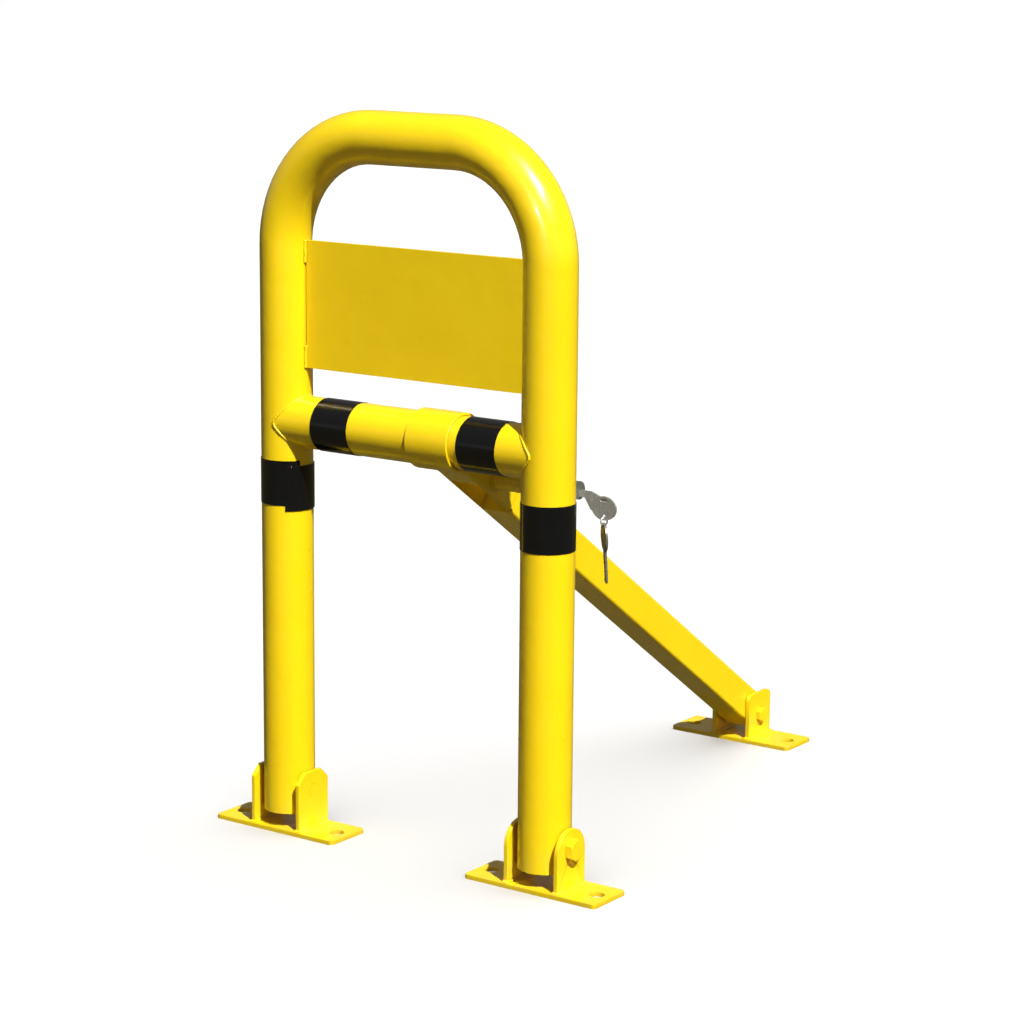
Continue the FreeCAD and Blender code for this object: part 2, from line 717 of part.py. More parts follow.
def make_lock_housing():
    tube = cut("housing_tube", lock_rod("housing_outer", "housing_radius", "strut_right", "housing_end"),
               lock_rod("housing_bore", "barrel_radius + barrel_play", "strut_right", "housing_end"))
    screw_hole = cylinder("housing_screw_hole", "guide_screw_radius", "housing_radius", "guide_screw_x",
                          "lock_y", "lock_z + 1", UPRIGHT)
    return cut("lock_housing", tube, screw_hole)


def make_housing_weld():
    cone = doc.addObject("Part::Cone", "housing_bead_cone")
    bind(cone, Radius1="housing_radius + weld_size", Radius2="housing_radius", Height="weld_size")
    put(cone, "strut_right", "lock_y", "lock_z", ALONG_X)
    return cut("housing_weld", cone, lock_rod("housing_bead_core", "housing_radius", "strut_right",
                                              "housing_end"))


def make_guide_screw():
    """A headless screw whose tip runs in the barrel's slot and limits its travel."""
    return cylinder("guide_screw", "guide_screw_radius - hinge_play", "housing_radius - guide_slot_floor",
                    "guide_screw_x", "lock_y", "lock_z + guide_slot_floor", UPRIGHT)


def make_spring_seat():
    return cut("spring_seat", lock_rod("seat_outer", "barrel_radius", "seat_start", "seat_end"),
               lock_rod("seat_bore", "lock_bolt_radius + barrel_play", "seat_start", "seat_end"))


# ---------------------------------------------------------------- lock barrel, bolt, spring and plug

def make_lock_barrel():
    rod = lock_rod("barrel_rod", "barrel_radius", "barrel_back", "barrel_face")
    bolt_seat = lock_rod("barrel_bolt_seat", "lock_bolt_radius", "barrel_back", "bolt_end")
    plug_bore = lock_rod("barrel_plug_bore", "plug_radius + plug_play", "plug_back", "barrel_face",
                         z="plug_z")
    slot = box("barrel_slot", "lock_stroke + 2 * guide_screw_radius + 2 * hinge_play",
               "2 * guide_screw_radius + 2 * hinge_play", "barrel_radius",
               "guide_screw_x - guide_screw_radius - hinge_play",
               "lock_y - guide_screw_radius - hinge_play", "lock_z + guide_slot_floor - hinge_play")
    pin_hole = plug_pin_rod("barrel_pin_hole")
    return cut("lock_barrel", rod, fuse("barrel_cuts", [bolt_seat, plug_bore, slot, pin_hole]))


def plug_pin_rod(name):
    """A cross pin that passes through the groove of the plug and keeps the plug in."""
    return cylinder(name, "plug_pin_radius", "2 * plug_pin_half", "plug_pin_x", "lock_y - plug_pin_half",
                    "plug_z + plug_pin_rise", ALONG_Y)


def make_lock_bolt():
    shank = lock_rod("bolt_shank", "lock_bolt_radius", "bolt_shoulder", "bolt_end")
    nose = doc.addObject("Part::Cone", "bolt_nose")
    bind(nose, Radius1="lock_bolt_radius - bolt_shoulder + lock_bolt_nose", Radius2="lock_bolt_radius",
         Height="bolt_shoulder - lock_bolt_nose")
    put(nose, "lock_bolt_nose", "lock_y", "lock_z", ALONG_X)
    return fuse("lock_bolt", [shank, nose])


def make_lock_spring():
    """A round wire swept along a helix between the seat and the back of the barrel."""
    wire = size("spring_wire")
    start = size("seat_end") + wire
    run = size("barrel_back") - wire - start
    helix = Part.makeHelix(run / size("spring_turns"), run, size("spring_radius"))
    ring = Part.Wire(Part.makeCircle(wire / 2, Vector(size("spring_radius"), 0, 0), Y_AXIS))
    coil = Part.Wire(helix).makePipeShell([ring], True, True)
    spring = doc.addObject("Part::Feature", "lock_spring")
    spring.Shape = coil
    spring.Placement = Placement(Vector(start, size("lock_y"), size("lock_z")), ALONG_X)
    return spring


def make_key_plug():
    rod = lock_rod("plug_rod", "plug_radius", "plug_back + 2 * plug_play", "barrel_face", z="plug_z")
    groove_ring = lock_rod("plug_groove_ring", "2 * plug_radius", "plug_pin_x - plug_groove_half",
                           "plug_pin_x + plug_groove_half", z="plug_z")
    groove_core = lock_rod("plug_groove_core", "plug_groove_floor", "plug_pin_x - plug_groove_half",
                           "plug_pin_x + plug_groove_half", z="plug_z")
    keyway = box("plug_keyway", "key_blade_length + 2", "key_thickness + 2 * plug_play",
                 "key_blade_height + 0.4", "barrel_face + key_stand_out - key_blade_length - 1",
                 "lock_y - key_thickness / 2 - plug_play", "plug_z - key_blade_height / 2 - 0.2")
    groove = cut("plug_groove", groove_ring, groove_core)
    return cut("key_plug", rod, fuse("plug_cuts", [groove, keyway]))


# ---------------------------------------------------------------- keys

def key_face(points):
    """A face on the key's near side, half a thickness in front of its middle plane."""
    near = size("key_thickness") / -2
    return Part.Face(Part.makePolygon([Vector(x, near, z) for x, z in points + points[:1]]))


def key_blank(drop):
    """A flat key in the XZ plane: blade to -X, bow centre out along +X and drop below the blade."""
    half = size("key_blade_height") / 2
    blade = size("key_blade_length")
    reach = size("key_bow_reach")
    thickness = size("key_thickness")
    slant = KEY_TIP_SHARE * half
    collar_x = KEY_COLLAR_SHARE * reach
    throat_x = KEY_THROAT_SHARE * reach
    outline = [(-blade, 0), (slant - blade, -half), (collar_x, -half), (throat_x, -half - drop),
               (reach, -half - drop), (reach, half - drop / 2), (throat_x, half), (slant - blade, half)]
    bow = Part.Ellipse(Vector(reach, -thickness / 2, -drop), size("key_bow_width") / 2,
                       size("key_bow_height") / 2)
    bow.Axis = -Y_AXIS
    thick = Vector(0, thickness, 0)
    shape = key_face(outline).extrude(thick).fuse(Part.Face(Part.Wire(bow.toShape())).extrude(thick))
    notch_half = size("key_notch_half")
    for index in range(KEY_NOTCHES):
        notch_x = -size("key_notch_start") - index * size("key_notch_pitch")
        floor = half * (1 - KEY_NOTCH_DEPTHS[index % 2])
        notch = [(notch_x - notch_half, half + 0.1), (notch_x, floor), (notch_x + notch_half, half + 0.1)]
        shape = shape.cut(key_face(notch).extrude(thick))
    return shape


def through_hole(x, z, radius):
    return Part.makeCylinder(radius, 3 * size("key_thickness"), Vector(x, -size("key_thickness"), z), Y_AXIS)


def add_key(name, shape, placement):
    key = doc.addObject("Part::Feature", name)
    key.Shape = shape.removeSplitter()
    key.Placement = placement
    return key


def bow_recess(centre_x, centre_z):
    """A shallow oblong pressed into both faces of the bow."""
    half = size("key_thickness") / 2
    depth = size("key_recess_depth")
    radius = size("key_recess_radius")
    reach = size("key_recess_reach")
    recess = None
    for start in (-half, half - depth):
        ends = [Part.makeCylinder(radius, depth, Vector(centre_x + side * reach, start, centre_z), Y_AXIS)
                for side in (-1, 1)]
        low = Vector(centre_x - reach, start, centre_z - radius)
        middle = Part.makeBox(2 * reach, depth, 2 * radius, low)
        oblong = ends[0].fuse([ends[1], middle])
        recess = oblong if recess is None else recess.fuse(oblong)
    return recess


def make_lock_key():
    """The key in the plug, with a round hole low in its bow and a pressed oblong high in it."""
    drop = size("key_bow_drop")
    reach = size("key_bow_reach")
    bow_half = size("key_bow_height") / 2
    shape = key_blank(drop)
    shape = shape.cut(through_hole(reach, size("key_hole_inset") - drop - bow_half, size("key_hole_radius")))
    shape = shape.cut(bow_recess(reach, size("key_recess_rise") - drop))
    place = Vector(size("barrel_face") + size("key_stand_out"), size("lock_y"), size("plug_z"))
    return add_key("lock_key", shape, Placement(place, Rotation()))


def make_key_ring():
    """A small wire ring that hangs in the low hole of the key."""
    ring = doc.addObject("Part::Torus", "key_ring")
    bind(ring, Radius1="ring_radius", Radius2="ring_wire")
    turn = Rotation(Z_AXIS, RING_TURN) * ALONG_X
    return put(ring, "key_bow_x", "lock_y", "ring_top_z - ring_radius", turn)


def make_spare_key():
    """The second key hangs on the ring by the hole at the end of its bow, tipped a little to one side."""
    hole_x = size("key_bow_reach") + size("key_bow_width") / 2 - size("key_hole_inset")
    shape = key_blank(0).cut(through_hole(hole_x, 0, size("key_hole_radius")))
    flat = math.radians(SPARE_KEY_TURN)
    across = Vector(math.cos(flat), math.sin(flat), 0)
    hang = Rotation(Y_AXIS, SPARE_KEY_TIP) * Rotation(Z_AXIS, Vector(across.y, -across.x, 0), across, "ZXY")
    hole = Vector(size("key_bow_x"), size("lock_y"), size("spare_hole_z"))
    return add_key("spare_key", shape, Placement(hole - hang.multVec(Vector(hole_x, 0, 0)), hang))


# ---------------------------------------------------------------- build

fill_sheet()

LEFT_LEG_EARS = ("0 - leg_offset - front_ear_inside - ear_thickness", "front_ear_inside - leg_offset")
RIGHT_LEG_EARS = ("leg_offset - front_ear_inside - ear_thickness", "leg_offset + front_ear_inside")
REAR_EARS = ("strut_x - rear_ear_inside - ear_thickness", "strut_x + rear_ear_inside")

parts = [
    make_u_frame(),
    make_crossbar(),
    make_crossbar_welds(),
    make_sign_plate(),
    make_sign_welds(),
    make_leg_bush("left"),
    make_leg_bush("right"),
    make_leg_tape_left(),
    make_leg_tape_right(),
    make_bar_tape("left", "0 - tape_left_inner - tape_width"),
    make_bar_tape("right", "tape_right_inner"),
    make_ground_plate("ground_plate_left", "0 - leg_offset", "front_y"),
    make_ground_plate("ground_plate_right", "leg_offset", "front_y"),
    make_ground_plate("ground_plate_rear", "strut_x", "rear_y"),
    make_ear("ear_left_outer", "chamfered", LEFT_LEG_EARS[0], "front_y", "front_ear_top",
             "front_pivot_height", "front_bolt_radius"),
    make_ear("ear_left_inner", "chamfered", LEFT_LEG_EARS[1], "front_y", "front_ear_top",
             "front_pivot_height", "front_bolt_radius"),
    make_ear("ear_right_inner", "round", RIGHT_LEG_EARS[0], "front_y", "front_ear_top",
             "front_pivot_height", "front_bolt_radius"),
    make_ear("ear_right_outer", "round", RIGHT_LEG_EARS[1], "front_y", "front_ear_top",
             "front_pivot_height", "front_bolt_radius"),
    make_ear("ear_rear_left", "rounded", REAR_EARS[0], "rear_y", "rear_ear_top", "rear_pivot_height",
             "rear_bolt_radius"),
    make_ear("ear_rear_right", "rounded", REAR_EARS[1], "rear_y", "rear_ear_top", "rear_pivot_height",
             "rear_bolt_radius"),
    make_ear_welds("ear_welds_left", LEFT_LEG_EARS[0], LEFT_LEG_EARS[1], "front_y"),
    make_ear_welds("ear_welds_right", RIGHT_LEG_EARS[0], RIGHT_LEG_EARS[1], "front_y"),
    make_ear_welds("ear_welds_rear", REAR_EARS[0], REAR_EARS[1], "rear_y"),
    make_front_bolt("left"),
    make_front_bolt("right"),
    make_rear_bolt(),
    make_strut_tube(),
    make_strut_bush(),
    make_strut_cap(),
    make_strut_tongue(),
    make_tongue_weld(),
    make_sleeve(),
    make_strut_head(),
    make_head_weld(),
    make_lock_housing(),
    make_housing_weld(),
    make_guide_screw(),
    make_spring_seat(),
    make_lock_barrel(),
    plug_pin_rod("plug_pin"),
    make_lock_bolt(),
    make_lock_spring(),
    make_key_plug(),
    make_lock_key(),
    make_key_ring(),
    make_spare_key(),
]
doc.recompute()

for thing in doc.Objects:
    if "Invalid" in thing.State or "Error" in thing.State:
        raise RuntimeError("%s is %s" % (thing.Name, thing.State))
for part in parts:
    if part.Shape.isNull() or not part.Shape.isValid() or not part.Shape.Solids:
        raise RuntimeError(part.Label + " has no valid solid")

os.makedirs("parts", exist_ok=True)
for part in parts:
    part.Shape.exportStep("parts/%s.step" % part.Label)
    box_of_part = part.Shape.BoundBox
    print("%-20s solids %d  volume %9.0f  z %.1f to %.1f" % (
        part.Label, len(part.Shape.Solids), part.Shape.Volume, box_of_part.ZMin, box_of_part.ZMax))
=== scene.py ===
import json
import math

import bpy
from mathutils import Matrix, Vector


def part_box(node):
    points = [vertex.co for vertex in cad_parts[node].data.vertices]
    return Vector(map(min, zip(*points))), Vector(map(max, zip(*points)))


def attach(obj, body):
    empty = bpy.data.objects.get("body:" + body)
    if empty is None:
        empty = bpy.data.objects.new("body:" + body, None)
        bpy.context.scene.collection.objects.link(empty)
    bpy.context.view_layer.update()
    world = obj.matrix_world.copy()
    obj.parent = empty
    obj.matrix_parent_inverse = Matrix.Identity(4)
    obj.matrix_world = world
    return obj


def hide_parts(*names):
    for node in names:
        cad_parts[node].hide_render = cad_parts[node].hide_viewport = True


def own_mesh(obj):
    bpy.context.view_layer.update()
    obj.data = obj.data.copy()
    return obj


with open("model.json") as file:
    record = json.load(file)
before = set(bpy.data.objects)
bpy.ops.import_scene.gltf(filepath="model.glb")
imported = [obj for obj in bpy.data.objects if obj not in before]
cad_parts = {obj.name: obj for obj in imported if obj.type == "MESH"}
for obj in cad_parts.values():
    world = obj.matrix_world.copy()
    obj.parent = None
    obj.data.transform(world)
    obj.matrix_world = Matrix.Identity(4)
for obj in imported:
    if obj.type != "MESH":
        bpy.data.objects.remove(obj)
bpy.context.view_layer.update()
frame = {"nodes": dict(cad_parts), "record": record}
nodes = frame["nodes"]
MM = 0.001


# ---------------------------------------------------------------- node helpers

def new_material(name):
    """A material with its Principled shader: returns the material, its tree and the shader."""
    material = bpy.data.materials.new(name)
    material.use_nodes = True
    tree = material.node_tree
    tree.nodes.clear()
    shader = tree.nodes.new("ShaderNodeBsdfPrincipled")
    output = tree.nodes.new("ShaderNodeOutputMaterial")
    tree.links.new(shader.outputs["BSDF"], output.inputs["Surface"])
    return material, tree, shader


def feed(tree, socket, value):
    """Link a socket to another socket, or set it to a plain value."""
    if isinstance(value, bpy.types.NodeSocket):
        tree.links.new(value, socket)
    else:
        socket.default_value = value


def object_point(tree, stretch=(1, 1, 1)):
    """The surface point in the object's own frame, in metres, stretched along each axis."""
    point = tree.nodes.new("ShaderNodeTexCoord").outputs["Object"]
    mapping = tree.nodes.new("ShaderNodeMapping")
    mapping.inputs["Scale"].default_value = stretch
    tree.links.new(point, mapping.inputs["Vector"])
    return mapping.outputs["Vector"]


def noise(tree, scale, detail=3.0, roughness=0.55, stretch=(1, 1, 1), distortion=0.0):
    texture = tree.nodes.new("ShaderNodeTexNoise")
    texture.inputs["Scale"].default_value = scale
    texture.inputs["Detail"].default_value = detail
    texture.inputs["Roughness"].default_value = roughness
    texture.inputs["Distortion"].default_value = distortion
    tree.links.new(object_point(tree, stretch), texture.inputs["Vector"])
    return texture.outputs["Fac"]


def remap(tree, value, low, high, new_low=0.0, new_high=1.0):
    """Map a value from low..high to new_low..new_high, clamped."""
    ranger = tree.nodes.new("ShaderNodeMapRange")
    feed(tree, ranger.inputs["Value"], value)
    ranger.inputs["From Min"].default_value = low
    ranger.inputs["From Max"].default_value = high
    ranger.inputs["To Min"].default_value = new_low
    ranger.inputs["To Max"].default_value = new_high
    return ranger.outputs["Result"]


def math_node(tree, operation, first, second=0.0):
    calculator = tree.nodes.new("ShaderNodeMath")
    calculator.operation = operation
    feed(tree, calculator.inputs[0], first)
    feed(tree, calculator.inputs[1], second)
    return calculator.outputs[0]


def mix_colour(tree, factor, first, second):
    mixer = tree.nodes.new("ShaderNodeMix")
    mixer.data_type = "RGBA"
    feed(tree, mixer.inputs["Factor"], factor)
    feed(tree, mixer.inputs["A"], first if isinstance(first, bpy.types.NodeSocket) else (*first, 1))
    feed(tree, mixer.inputs["B"], second if isinstance(second, bpy.types.NodeSocket) else (*second, 1))
    return mixer.outputs["Result"]


def bump(tree, height, strength, distance, under=None):
    bumper = tree.nodes.new("ShaderNodeBump")
    bumper.inputs["Strength"].default_value = strength
    bumper.inputs["Distance"].default_value = distance
    feed(tree, bumper.inputs["Height"], height)
    if under is not None:
        feed(tree, bumper.inputs["Normal"], under)
    return bumper.outputs["Normal"]


def height_above_ground(tree):
    splitter = tree.nodes.new("ShaderNodeSeparateXYZ")
    tree.links.new(object_point(tree), splitter.inputs["Vector"])
    return splitter.outputs["Z"]


def crevice(tree, distance):
    """1 in tight corners, 0 on open faces."""
    occlusion = tree.nodes.new("ShaderNodeAmbientOcclusion")
    occlusion.samples = 6
    occlusion.only_local = False
    occlusion.inputs["Distance"].default_value = distance
    return remap(tree, occlusion.outputs["AO"], 0.85, 0.35)


# ---------------------------------------------------------------- materials

def yellow_paint():
    """Thick glossy powder coat: slow colour drift, orange peel, dust low down, and painted shade in corners.
    """
    material, tree, shader = new_material("yellow_paint")
    drift = remap(tree, noise(tree, 11, 3), 0.35, 0.65)
    coat_colour = mix_colour(tree, drift, (0.90, 0.622, 0.003), (0.92, 0.652, 0.004))
    mottle = remap(tree, noise(tree, 90, 4), 0.45, 0.75, 0, 0.22)
    coat_colour = mix_colour(tree, mottle, coat_colour, (0.87, 0.585, 0.003))
    low_down = remap(tree, height_above_ground(tree), 0.05, 0.0)
    patchy = remap(tree, noise(tree, 70, 6, 0.65), 0.42, 0.70)
    dust = math_node(tree, "MULTIPLY", low_down, patchy)
    dust = math_node(tree, "MULTIPLY", dust, 0.16)
    # Painted shade: an occlusion mask darkens corners and crevices towards a shaded brown.
    painted_corner_shade = math_node(tree, "MULTIPLY", crevice(tree, 6 * MM), 0.42)
    coat_colour = mix_colour(tree, dust, coat_colour, (0.62, 0.50, 0.26))
    coat_colour = mix_colour(tree, painted_corner_shade, coat_colour, (0.30, 0.17, 0.01))
    tree.links.new(coat_colour, shader.inputs["Base Color"])
    roughness = remap(tree, noise(tree, 45, 5), 0.3, 0.7, 0.26, 0.38)
    roughness = math_node(tree, "ADD", roughness, dust)
    tree.links.new(roughness, shader.inputs["Roughness"])
    shader.inputs["Coat Weight"].default_value = 0.55
    shader.inputs["Coat Roughness"].default_value = 0.07
    shader.inputs["Coat IOR"].default_value = 1.48
    peel = noise(tree, 420, 2)
    sag = noise(tree, 38, 2)
    surface = bump(tree, peel, 0.35, 0.10 * MM)
    surface = bump(tree, sag, 0.45, 0.9 * MM, surface)
    tree.links.new(surface, shader.inputs["Normal"])
    tree.links.new(surface, shader.inputs["Coat Normal"])
    return material


def black_tape():
    """Glossy vinyl tape with stretch wrinkles and faint dust."""
    material, tree, shader = new_material("black_tape")
    dust = remap(tree, noise(tree, 120, 6, 0.7), 0.55, 0.85, 0, 0.12)
    colour = mix_colour(tree, dust, (0.0028, 0.0032, 0.0045), (0.02, 0.02, 0.02))
    tree.links.new(colour, shader.inputs["Base Color"])
    roughness = remap(tree, noise(tree, 60, 4), 0.3, 0.7, 0.10, 0.20)
    tree.links.new(roughness, shader.inputs["Roughness"])
    shader.inputs["Specular IOR Level"].default_value = 0.5
    wrinkles = noise(tree, 90, 3, 0.5, (1, 1, 0.25), 0.6)
    surface = bump(tree, wrinkles, 0.35, 0.35 * MM)
    tree.links.new(surface, shader.inputs["Normal"])
    return material


def worn_metal(name, light, dark, low_roughness, high_roughness, grain, metallic=1.0):
    """Plated or turned metal with fine scratches along the grain direction and darker stains."""
    material, tree, shader = new_material(name)
    stain = remap(tree, noise(tree, 140, 5, 0.6), 0.38, 0.68)
    fine = noise(tree, 900, 2, 0.5, grain)
    colour = mix_colour(tree, stain, light, dark)
    colour = mix_colour(tree, remap(tree, fine, 0.4, 0.7, 0, 0.35), colour, tuple(0.6 * c for c in dark))
    tree.links.new(colour, shader.inputs["Base Color"])
    shader.inputs["Metallic"].default_value = metallic
    tree.links.new(remap(tree, stain, 0, 1, low_roughness, high_roughness), shader.inputs["Roughness"])
    surface = bump(tree, fine, 0.35, 0.05 * MM)
    surface = bump(tree, noise(tree, 260, 2), 0.25, 0.15 * MM, surface)
    tree.links.new(surface, shader.inputs["Normal"])
    return material


ACROSS_X = (0.12, 1, 1)
ALONG_X = (1, 0.12, 0.12)
MATERIALS = {
    "yellow_paint": yellow_paint(),
    "black_tape": black_tape(),
    "zinc_steel": worn_metal("zinc_steel", (0.62, 0.62, 0.58), (0.42, 0.41, 0.38), 0.3, 0.5, ACROSS_X, 0.75),
    "lock_metal": worn_metal("lock_metal", (0.30, 0.34, 0.30), (0.17, 0.19, 0.17), 0.28, 0.45, ACROSS_X, 0.6),
    "nickel": worn_metal("nickel", (0.72, 0.72, 0.69), (0.50, 0.50, 0.47), 0.25, 0.42, ALONG_X, 0.6),
    # Painted shade: a darker copy of nickel for the spare key, which hangs in shade.
    "shaded_nickel": worn_metal("shaded_nickel", (0.26, 0.26, 0.24), (0.12, 0.12, 0.11), 0.35, 0.55,
                              ALONG_X, 0.5),
    "bush_bronze": worn_metal("bush_bronze", (0.52, 0.36, 0.17), (0.30, 0.20, 0.09), 0.3, 0.5, ACROSS_X),
}


# ---------------------------------------------------------------- shading of the CAD nodes

def smooth_group(angle_deg):
    """A geometry group that drops stored normals and smooths every edge flatter than the angle."""
    group = bpy.data.node_groups.new("smooth_%d" % angle_deg, "GeometryNodeTree")
    group.interface.new_socket("Geometry", in_out="INPUT", socket_type="NodeSocketGeometry")
    group.interface.new_socket("Geometry", in_out="OUTPUT", socket_type="NodeSocketGeometry")
    start = group.nodes.new("NodeGroupInput")
    end = group.nodes.new("NodeGroupOutput")
    clear = group.nodes.new("GeometryNodeRemoveAttribute")
    clear.inputs["Name"].default_value = "custom_normal"
    faces = group.nodes.new("GeometryNodeSetShadeSmooth")
    faces.domain = "FACE"
    edges = group.nodes.new("GeometryNodeSetShadeSmooth")
    edges.domain = "EDGE"
    angle = group.nodes.new("GeometryNodeInputMeshEdgeAngle")
    flat = group.nodes.new("FunctionNodeCompare")
    flat.operation = "LESS_THAN"
    flat.inputs["B"].default_value = math.radians(angle_deg)
    group.links.new(angle.outputs["Unsigned Angle"], flat.inputs["A"])
    group.links.new(flat.outputs["Result"], edges.inputs["Shade Smooth"])
    group.links.new(start.outputs[0], clear.inputs["Geometry"])
    group.links.new(clear.outputs["Geometry"], faces.inputs["Geometry"])
    group.links.new(faces.outputs["Geometry"], edges.inputs["Geometry"])
    group.links.new(edges.outputs["Geometry"], end.inputs[0])
    return group


SMOOTH_ANGLE = 32
WELD_DISTANCE = 0.002 * MM
SMOOTH = smooth_group(SMOOTH_ANGLE)


def weld(obj):
    joiner = obj.modifiers.new("weld", "WELD")
    joiner.merge_threshold = WELD_DISTANCE


BEVEL_SEGMENTS = 3
BEVEL_ANGLE = 34
NORMAL_WEIGHT = 80
BEAD_VOXEL = 0.6 * MM
BEAD_DEPTH = 0.9 * MM
BEAD_RIPPLE = 4 * MM


def soften(obj, width):
    """Round every sharp edge by width, as paint and handling do, and smooth the rest."""
    weld(obj)
    bevel = obj.modifiers.new("edges", "BEVEL")
    bevel.width = width
    bevel.segments = BEVEL_SEGMENTS
    bevel.limit_method = "ANGLE"
    bevel.angle_limit = math.radians(BEVEL_ANGLE)
    bevel.use_clamp_overlap = True
    bevel.miter_outer = "MITER_ARC"
    smooth = obj.modifiers.new("smooth", "NODES")
    smooth.node_group = SMOOTH
    even = obj.modifiers.new("even", "WEIGHTED_NORMAL")
    even.keep_sharp = True
    even.weight = NORMAL_WEIGHT


def rippled_bead(obj, voxel, depth, ripple_size):
    """A weld bead: remeshed finely, then pushed in and out by a fixed cloud pattern."""
    weld(obj)
    remesh = obj.modifiers.new("remesh", "REMESH")
    remesh.mode = "VOXEL"
    remesh.voxel_size = voxel
    remesh.use_smooth_shade = True
    clouds = bpy.data.textures.new(obj.name + "_ripple", "CLOUDS")
    clouds.noise_scale = ripple_size
    clouds.noise_depth = 1
    ripple = obj.modifiers.new("ripple", "DISPLACE")
    ripple.texture = clouds
    ripple.texture_coords = "LOCAL"
    ripple.strength = depth
    ripple.mid_level = 0.62
    relax = obj.modifiers.new("relax", "SMOOTH")
    relax.factor = 0.5
    relax.iterations = 4


EDGE_WIDTHS = {
    "yellow_paint": 0.6 * MM,
    "black_tape": 0.12 * MM,
    "zinc_steel": 0.15 * MM,
    "lock_metal": 0.25 * MM,
    "nickel": 0.22 * MM,
    "bush_bronze": 0.15 * MM,
}
NODE_EDGES = {"hinge_bolt_left": 0.8 * MM, "hinge_bolt_right": 0.8 * MM, "hinge_bolt_rear": 0.6 * MM,
              "u_frame": 0.4 * MM, "sign_plate": 0.45 * MM, "sleeve": 0.5 * MM, "lock_housing": 0.4 * MM,
              "key_ring": 0.05 * MM}
# The spare key gets the darker nickel copy: painted shade.
NODE_MATERIALS = {"spare_key": "shaded_nickel"}
BEADS = ("sign_welds", "head_weld", "housing_weld", "tongue_weld", "ear_welds_left",
         "ear_welds_right", "ear_welds_rear")

for entry in frame["record"]["subparts"]:
    piece = nodes[entry["node"]]
    slot_name = entry["material_slot"]
    piece.data.materials.clear()
    piece.data.materials.append(MATERIALS[NODE_MATERIALS.get(piece.name, slot_name)])
    if piece.name in BEADS:
        rippled_bead(piece, BEAD_VOXEL, BEAD_DEPTH, BEAD_RIPPLE)
    else:
        soften(piece, NODE_EDGES.get(piece.name, EDGE_WIDTHS[slot_name]))


# ---------------------------------------------------------------- return spring

def make_spring():
    """A wire coil of fixed length; it stands for the rigid coil of the frame."""
    low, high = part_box("lock_spring")
    middle = (low + high) / 2
    coil_radius = (high.z - low.z) / 2 - SPRING_WIRE / 2
    run = high.x - low.x - SPRING_WIRE
    vertices = []
    steps = SPRING_TURNS * SPRING_STEPS
    for index in range(steps + 1):
        turn = 2 * math.pi * index / SPRING_STEPS
        outward = Vector((0, math.cos(turn), math.sin(turn)))
        centre = Vector((low.x + SPRING_WIRE / 2 + run * index / steps, middle.y, middle.z))
        for side in range(SPRING_SIDES):
            angle = 2 * math.pi * side / SPRING_SIDES
            across = math.cos(angle) * outward + math.sin(angle) * Vector((1, 0, 0))
            vertices.append(centre + coil_radius * outward + SPRING_WIRE / 2 * across)
    faces = [tuple(reversed(range(SPRING_SIDES))),
             tuple(steps * SPRING_SIDES + side for side in range(SPRING_SIDES))]
    for index in range(steps):
        near = index * SPRING_SIDES
        far = near + SPRING_SIDES
        for side in range(SPRING_SIDES):
            step = (side + 1) % SPRING_SIDES
            faces.append((near + side, near + step, far + step, far + side))
    mesh = bpy.data.meshes.new("return_spring")
    mesh.from_pydata(vertices, [], faces)
    mesh.shade_smooth()
    spring = bpy.data.objects.new("return_spring", mesh)
    bpy.context.scene.collection.objects.link(spring)
    spring.data.materials.append(MATERIALS["zinc_steel"])
    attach(spring, "head")
    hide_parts("lock_spring")
    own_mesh(spring)
    return spring


SPRING_WIRE = 1.2 * MM
SPRING_TURNS = 6
SPRING_STEPS = 24
SPRING_SIDES = 8
make_spring()


# ---------------------------------------------------------------- saddle beads on the crossbar

def frame_round(towards, tangent):
    """Two unit vectors across a tangent, the first as near as possible to the given direction."""
    first = (towards - towards.dot(tangent) * tangent).normalized()
    return first, tangent.cross(first)


def rippled_ring(name, path, outwards, radius):
    """A closed bead swept along a path, with a ridge every RIPPLE_PITCH as the welder moved on."""
    count = len(path)
    vertices = []
    travelled = 0.0
    for index, point in enumerate(path):
        ahead = path[(index + 1) % count]
        tangent = (ahead - path[index - 1]).normalized()
        first, second = frame_round(outwards[index], tangent)
        phase = (travelled / RIPPLE_PITCH) % 1.0
        swell = 1.0 - RIPPLE_DEPTH * (2.0 * phase - 1.0) ** 2 + WANDER_DEPTH * math.sin(WANDER_STEP * index)
        for side in range(BEAD_SIDES):
            turn = 2 * math.pi * side / BEAD_SIDES
            vertices.append(point + swell * radius * (math.cos(turn) * first + math.sin(turn) * second))
        travelled += (ahead - point).length
    faces = []
    for index in range(count):
        near = index * BEAD_SIDES
        far = ((index + 1) % count) * BEAD_SIDES
        for side in range(BEAD_SIDES):
            step = (side + 1) % BEAD_SIDES
            faces.append((near + side, near + step, far + step, far + side))
    mesh = bpy.data.meshes.new(name)
    mesh.from_pydata(vertices, [], faces)
    mesh.shade_smooth()
    bead = bpy.data.objects.new(name, mesh)
    bpy.context.scene.collection.objects.link(bead)
    return bead


def saddle_bead(side):
    """The bead round the crossbar's coped end: side is -1 for the left leg and 1 for the right."""
    low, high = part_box("crossbar")
    centre = (low + high) / 2
    radius = (high.z - low.z) / 2
    leg_x = high.x - centre.x
    path = []
    outwards = []
    for index in range(SADDLE_STEPS):
        turn = 2 * math.pi * index / SADDLE_STEPS
        inset = math.sqrt((radius * math.cos(turn)) ** 2 + SADDLE_ROUNDING ** 2)
        out = Vector((0, math.sin(turn), math.cos(turn)))
        path.append(Vector((centre.x + side * (leg_x - inset), centre.y, centre.z)) + radius * out)
        outwards.append((out - Vector((side, 0, 0))).normalized())
    bead = rippled_ring("saddle_bead_" + ("left" if side < 0 else "right"), path, outwards, SADDLE_RADIUS)
    bead.data.materials.append(MATERIALS["yellow_paint"])
    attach(bead, "frame")
    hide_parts("crossbar_welds")
    return bead


